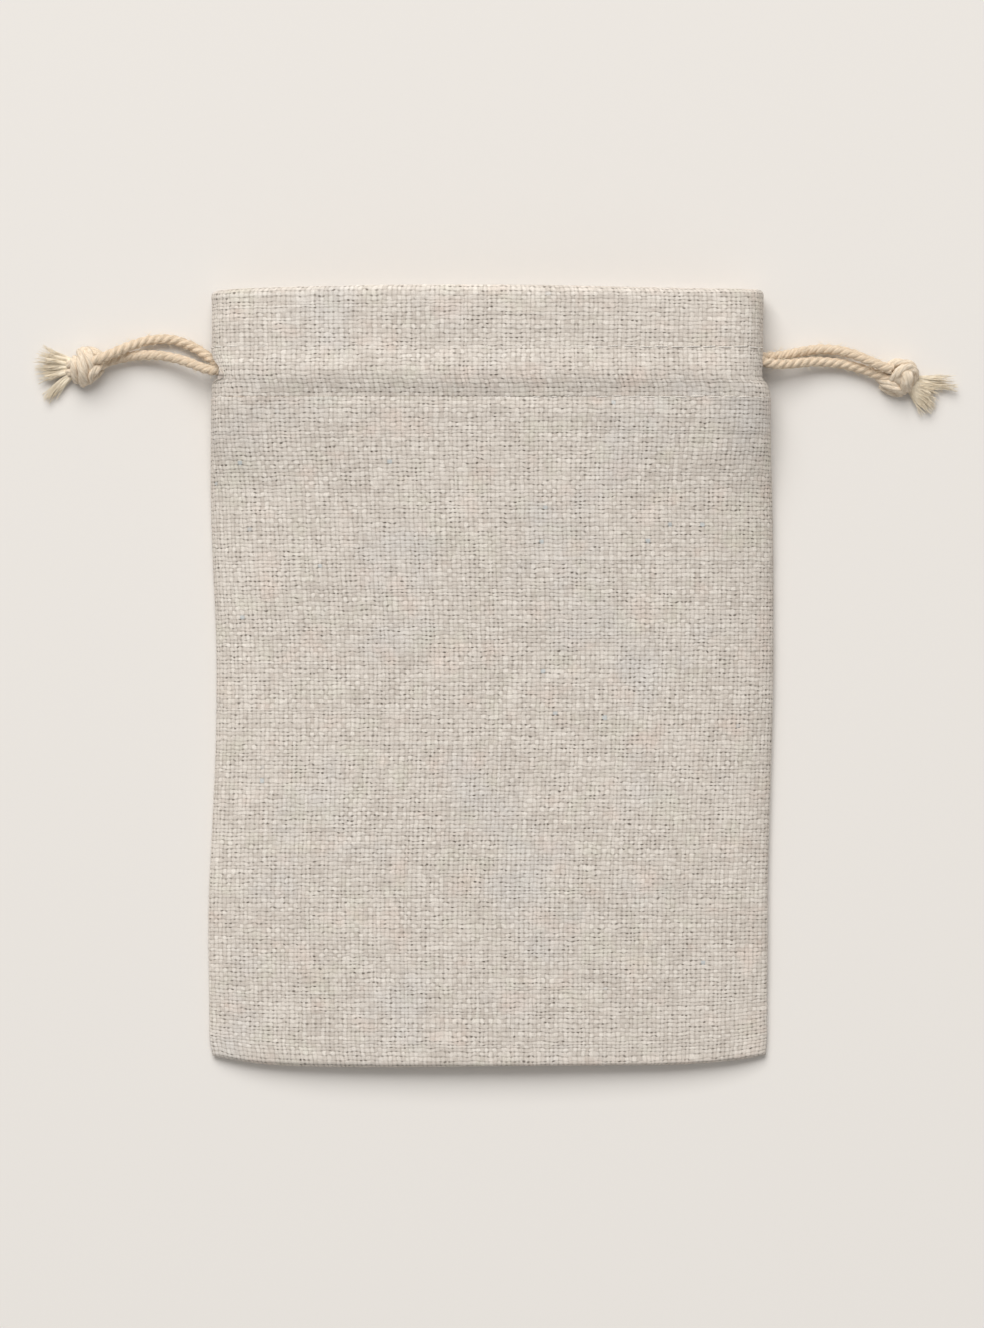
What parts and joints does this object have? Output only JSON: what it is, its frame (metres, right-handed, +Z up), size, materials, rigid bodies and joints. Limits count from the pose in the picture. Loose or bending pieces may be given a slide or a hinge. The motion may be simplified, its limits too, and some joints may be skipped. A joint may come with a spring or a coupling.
{
  "type": "drawstring jewelry pouch",
  "caption": "Linen drawstring pouch lying on its back, with a hemmed mouth, a stitched casing and twine drawstrings whose ends leave side slits and end in frayed knots.",
  "frame": {"origin": "under the middle of the cloth's box, on the surface that the pouch lies on", "axes": "+Y from the bottom fold to the mouth, +X across the pouch to the right as seen from above, +Z up from the surface"},
  "size_m": [0.165, 0.14, 0.0142],
  "materials": {
    "linen": "undyed oatmeal linen, plain weave with slubs, matt",
    "twine": "undyed three-ply twine, hard laid, matt and slightly hairy"
  },
  "bodies": {
    "root": {"pouch_cloth": "linen", "drawstring_left": "twine", "drawstring_right": "twine", "knot_left": "twine", "knot_right": "twine"}
  },
  "joints": []
}
